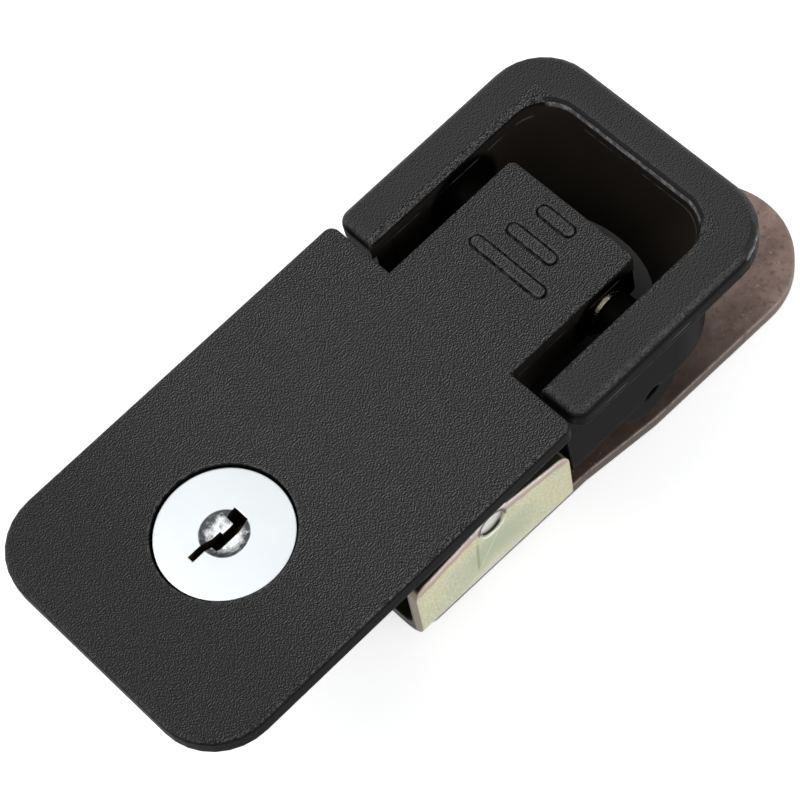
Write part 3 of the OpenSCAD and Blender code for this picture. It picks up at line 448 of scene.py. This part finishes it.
def turned_metal(name, light, dark, rough_range, line_scale):
    """Drawn or turned metal with fine lines and darker, rougher patches."""
    m = Net(name)
    lines = m.noise(1.0, 2.0, 0.6, m.stretched(line_scale))
    worn = m.noise(350, 3.0, 0.6)
    colour = m.mix(m.step(lines, 0.3, 0.7), dark, light)
    colour = m.coat(colour, dark, m.step(worn, 0.5, 0.75), 0.4)
    normal = m.bump(lines, 0.15, 0.00004, m.rounded(0.0002))
    return m.finish(colour, m.blend(worn, *rough_range), 0.95, 0.5, normal)


def brass(name):
    """Brass: bright on the hinge's bushes; rougher on the lock's wafers, with painted shade there."""
    m = Net(name)
    grain = m.noise(1.0, 2.0, 0.6, m.stretched((1200, 1200, 3000)))
    bush = m.step(m.x, -0.03, -0.02)
    # Painted shade on the lock's wafers
    wafer_shade_brass = m.mix(grain, (0.11, 0.07, 0.03), (0.24, 0.165, 0.07))
    clean = m.mix(grain, (0.75, 0.66, 0.46), (0.95, 0.88, 0.7))
    normal = m.bump(grain, 0.15, 0.00004, m.rounded(0.0002))
    return m.finish(m.mix(bush, wafer_shade_brass, clean), m.blend(bush, 0.5, 0.25), 0.95, 0.5, normal)


materials = {
    "black_plastic": moulded_black("black_plastic"),
    "zinc_plate": zinc_plate("zinc_plate"),
    "brown_steel": brown_steel("brown_steel"),
    "bright_plate": bright_plate("bright_plate"),
    "steel": turned_metal(
        "steel", (0.7, 0.7, 0.69), (0.54, 0.53, 0.51), (0.2, 0.36), (700, 700, 4000)
    ),
    "dark_steel": turned_metal(
        "dark_steel", (0.1, 0.1, 0.1), (0.035, 0.035, 0.035), (0.35, 0.5), (900, 900, 900)
    ),
    "spring_steel": turned_metal(
        "spring_steel", (0.55, 0.54, 0.52), (0.25, 0.24, 0.22), (0.22, 0.4), (1500, 1500, 1500)
    ),
    "brass": brass("brass"),
}
slots = {p["node"]: p["material_slot"] for p in frame["record"]["subparts"]}
for name, obj in nodes.items():
    obj.data.materials.clear()
    obj.data.materials.append(materials[slots[name]])

# Floor under the lowest piece
floor_z = cad_box[0][2]
span = 6.0
corners = [(-span, -span), (span, -span), (span, span), (-span, span)]
floor_mesh = bpy.data.meshes.new("floor")
floor_mesh.from_pydata([(x, y, floor_z) for x, y in corners], [], [(0, 1, 2, 3)])
floor = bpy.data.objects.new("floor", floor_mesh)
scene.collection.objects.link(floor)


def seen_directly(tree):
    """1 for rays from the camera, from mirrors and through glass."""
    path = tree.nodes.new("ShaderNodeLightPath")
    total = path.outputs["Is Camera Ray"]
    for other in ("Is Glossy Ray", "Is Transmission Ray"):
        n = tree.nodes.new("ShaderNodeMath")
        n.operation = "MAXIMUM"
        tree.links.new(total, n.inputs[0])
        tree.links.new(path.outputs[other], n.inputs[1])
        total = n.outputs[0]
    return total


white = (1.0, 1.0, 1.0)
floor_glow = 0.62  # lifts the lit floor to white where it is seen directly
floor_net = Net("floor_white")
tint = floor_net.mix(floor_net.noise(3.0), (0.86, 0.86, 0.86), (0.88, 0.88, 0.88))
floor_net.finish(tint, 0.9, 0.0, 0.0)
floor_net.put(floor_net.bsdf.inputs["Emission Color"], white)
glow = floor_net.times(seen_directly(floor_net.tree), floor_glow)
floor_net.put(floor_net.bsdf.inputs["Emission Strength"], glow)
floor_mesh.materials.append(floor_net.mat)


def background(tree, colour, strength):
    n = tree.nodes.new("ShaderNodeBackground")
    n.inputs["Color"].default_value = opaque(colour)
    n.inputs["Strength"].default_value = strength
    return n.outputs[0]


# The world lights the part softly, and is white where it is seen directly
sky_light, sky_strength = (0.96, 0.98, 1.0), 0.42
world = bpy.data.worlds.new("studio")
scene.world = world
world.use_nodes = True
sky = world.node_tree
sky.nodes.clear()
sky_out = sky.nodes.new("ShaderNodeOutputWorld")
sky_mix = sky.nodes.new("ShaderNodeMixShader")
sky.links.new(seen_directly(sky), sky_mix.inputs[0])
sky.links.new(background(sky, sky_light, sky_strength), sky_mix.inputs[1])
sky.links.new(background(sky, white, 1.0), sky_mix.inputs[2])
sky.links.new(sky_mix.outputs[0], sky_out.inputs["Surface"])

middle = Vector((-0.03, 0, 0))


def soft_light(name, place, size, power):
    """A rectangular lamp that points to the middle of the part."""
    data = bpy.data.lights.new(name, "AREA")
    data.shape = "RECTANGLE"
    data.size, data.size_y = size
    data.energy = power
    lamp = bpy.data.objects.new(name, data)
    scene.collection.objects.link(lamp)
    lamp.location = place
    lamp.rotation_euler = (middle - Vector(place)).to_track_quat("-Z", "Y").to_euler()


soft_light("key", (-0.35, 0.35, 0.75), (0.6, 0.6), 3.2)
soft_light("fill", (0.25, -0.7, 0.35), (0.7, 0.5), 2.6)

# Camera at the photograph's angle: its place, and its own axes in the part's frame
cam_place = (-0.13644, -0.19041, 0.39561)
cam_right = Vector((0.71011, -0.69001, -0.14011))
cam_up = Vector((0.66448, 0.59095, 0.45744))
cam_back = Vector((-0.23284, -0.41793, 0.87813))
cam_data = bpy.data.cameras.new("camera")
cam_data.lens = 141.67
cam_data.sensor_width = 36.0
cam_data.clip_start = 0.01
camera = bpy.data.objects.new("camera", cam_data)
scene.collection.objects.link(camera)
cam_turn = Matrix((cam_right, cam_up, cam_back)).transposed().to_4x4()
camera.matrix_world = Matrix.Translation(cam_place) @ cam_turn
scene.camera = camera

scene.view_settings.view_transform = "Standard"
